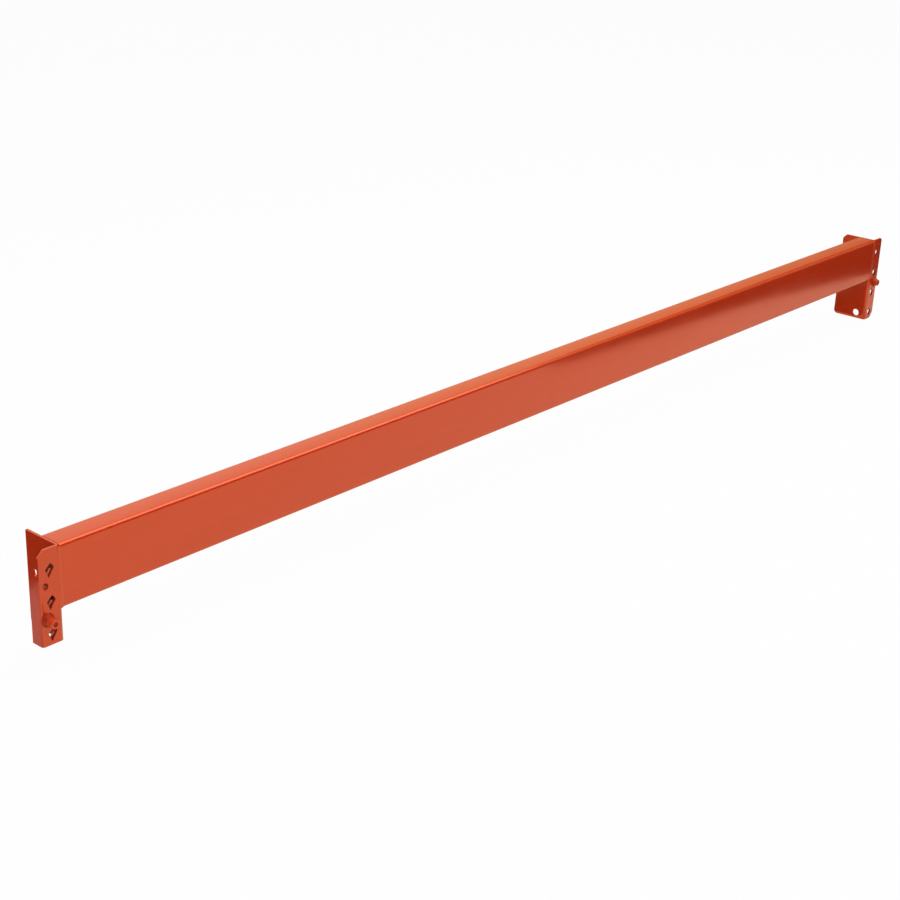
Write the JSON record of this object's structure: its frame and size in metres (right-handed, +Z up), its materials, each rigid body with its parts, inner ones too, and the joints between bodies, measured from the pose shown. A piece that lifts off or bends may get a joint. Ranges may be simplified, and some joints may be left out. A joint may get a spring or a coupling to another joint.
{
  "type": "pallet rack beam",
  "caption": "Horizontal load beam for a storage rack: a closed painted steel tube with a bent, punched hook connector welded to each end.",
  "frame": {"origin": "below the middle of the beam, at the middle of the whole depth, level with the lowest edge of the longer connector", "axes": "+X along the beam towards the longer connector, +Y from the front face back under the load, +Z up"},
  "size_m": [2.5154, 0.1036, 0.2032],
  "materials": {
    "tube_enamel": "gloss orange-red enamel",
    "plate_enamel": "gloss orange-red enamel on bent plate",
    "stud_enamel": "gloss orange-red enamel on a turned stud",
    "weld_enamel": "gloss orange-red enamel over a weld bead"
  },
  "bodies": {
    "root": {"beam_tube": "tube_enamel", "left_connector": "plate_enamel", "right_connector": "plate_enamel", "left_lock_stud": "stud_enamel", "right_lock_stud": "stud_enamel", "left_welds": "weld_enamel", "right_welds": "weld_enamel"}
  },
  "joints": []
}
